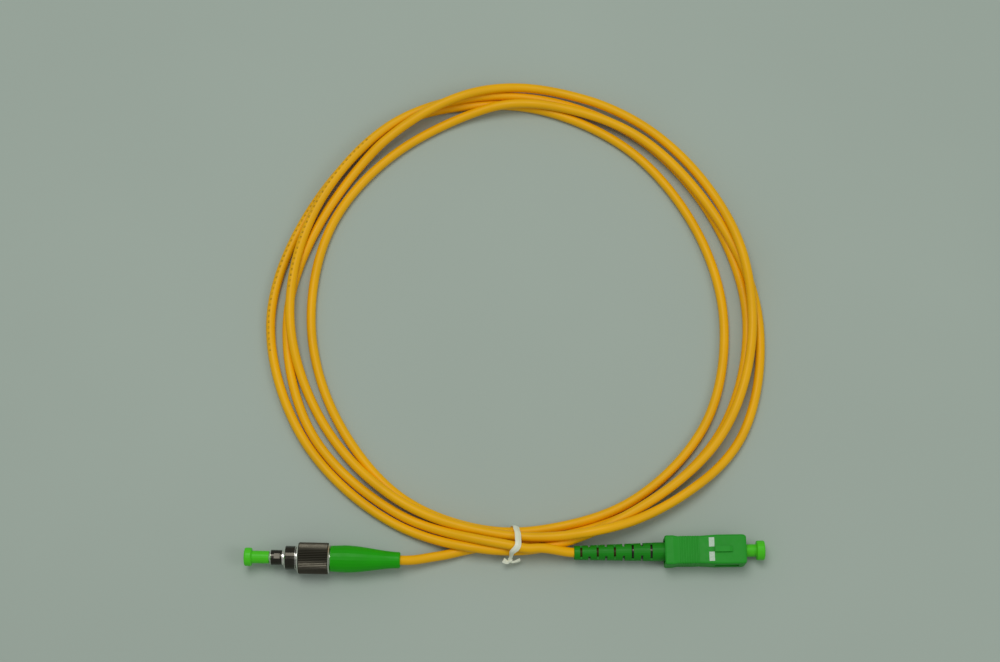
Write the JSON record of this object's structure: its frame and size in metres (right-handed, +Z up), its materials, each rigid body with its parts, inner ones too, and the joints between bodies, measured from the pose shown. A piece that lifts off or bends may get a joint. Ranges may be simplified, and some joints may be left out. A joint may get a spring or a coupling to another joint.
{
  "type": "fiber optic patch cord",
  "caption": "Coiled yellow simplex fiber optic patch cord with a screw-coupled round connector and a push-pull square connector, both dust capped, held by a twist tie.",
  "frame": {"origin": "on the surface that the cord lies on, under the middle of the two connectors, next to the tie", "axes": "+X from the screw connector's dust cap to the push-pull connector's dust cap, +Y from the tie across the coil, +Z up"},
  "size_m": [0.1654, 0.1652, 0.0098],
  "materials": {
    "yellow_jacket": "soft satin PVC",
    "green_boot": "satin moulded elastomer",
    "green_grip": "fine moulded satin",
    "green_cap": "translucent soft polyethylene",
    "nickel": "bright nickel plate",
    "knurled_nickel": "nickel plate with straight knurls",
    "zirconia": "polished ceramic",
    "spring_steel": "drawn wire",
    "plug_frame": "moulded satin",
    "aramid_yarn": "yarn",
    "buffered_fiber": "tight buffer",
    "tie_plastic": "soft white plastic",
    "tie_wire": "drawn wire"
  },
  "bodies": {
    "cord_and_bodies": {"cable_coil": "yellow_jacket", "fc_lead": "yellow_jacket", "sc_lead": "yellow_jacket", "fc_boot": "green_boot", "sc_boot": "green_boot", "fc_crimp_sleeve": "nickel", "sc_crimp_sleeve": "nickel", "fc_aramid_yarn": "aramid_yarn", "sc_aramid_yarn": "aramid_yarn", "fc_rear_body": "nickel", "fc_front_body": "nickel", "fc_buffer_fiber": "buffered_fiber", "sc_buffer_fiber": "buffered_fiber", "sc_stop_ring": "nickel", "sc_inner_housing": "plug_frame", "tie_sleeve": "tie_plastic", "tie_wire": "tie_wire"},
    "fc_nut_slider": {"fc_snap_ring": "spring_steel"},
    "fc_nut": {"fc_coupling_nut": "knurled_nickel"},
    "fc_ferrule_unit": {"fc_ferrule": "zirconia", "fc_ferrule_flange": "nickel", "fc_spring": "spring_steel"},
    "fc_cap": {"fc_dust_cap": "green_cap"},
    "sc_grip": {"sc_outer_grip": "green_grip", "sc_key": "green_grip"},
    "sc_ferrule_unit": {"sc_ferrule": "zirconia", "sc_ferrule_flange": "nickel", "sc_spring": "spring_steel"},
    "sc_cap": {"sc_dust_cap": "green_cap"}
  },
  "joints": [
    {"name": "fc_nut_slide", "type": "slide", "parent": "cord_and_bodies", "child": "fc_nut_slider", "axis": [-0.9997, 0.0227, 0], "range_m": [0, 0.008]},
    {"name": "fc_nut_spin", "type": "hinge", "parent": "fc_nut_slider", "child": "fc_nut", "pos_m": [-0.05969, -0.00269, 0.0049], "axis": [-0.9997, 0.0227, 0], "continuous": true},
    {"name": "fc_ferrule_push", "type": "slide", "parent": "cord_and_bodies", "child": "fc_ferrule_unit", "axis": [0.9997, -0.0227, 0], "range_m": [0, 0.0015], "stiffness_N_per_m": 1000, "springref_m": -0.002, "deforming": ["fc_spring"]},
    {"name": "fc_cap_pull", "type": "slide", "parent": "cord_and_bodies", "child": "fc_cap", "axis": [-0.9997, 0.0227, 0], "range_m": [0, 0.012]},
    {"name": "sc_grip_slide", "type": "slide", "parent": "cord_and_bodies", "child": "sc_grip", "axis": [-0.9999, -0.014, 0], "range_m": [0, 0.0018]},
    {"name": "sc_ferrule_push", "type": "slide", "parent": "cord_and_bodies", "child": "sc_ferrule_unit", "axis": [-0.9999, -0.014, 0], "range_m": [0, 0.0015], "stiffness_N_per_m": 1000, "springref_m": -0.002, "deforming": ["sc_spring"]},
    {"name": "sc_cap_pull", "type": "slide", "parent": "cord_and_bodies", "child": "sc_cap", "axis": [0.9999, 0.014, 0], "range_m": [0, 0.012]}
  ]
}
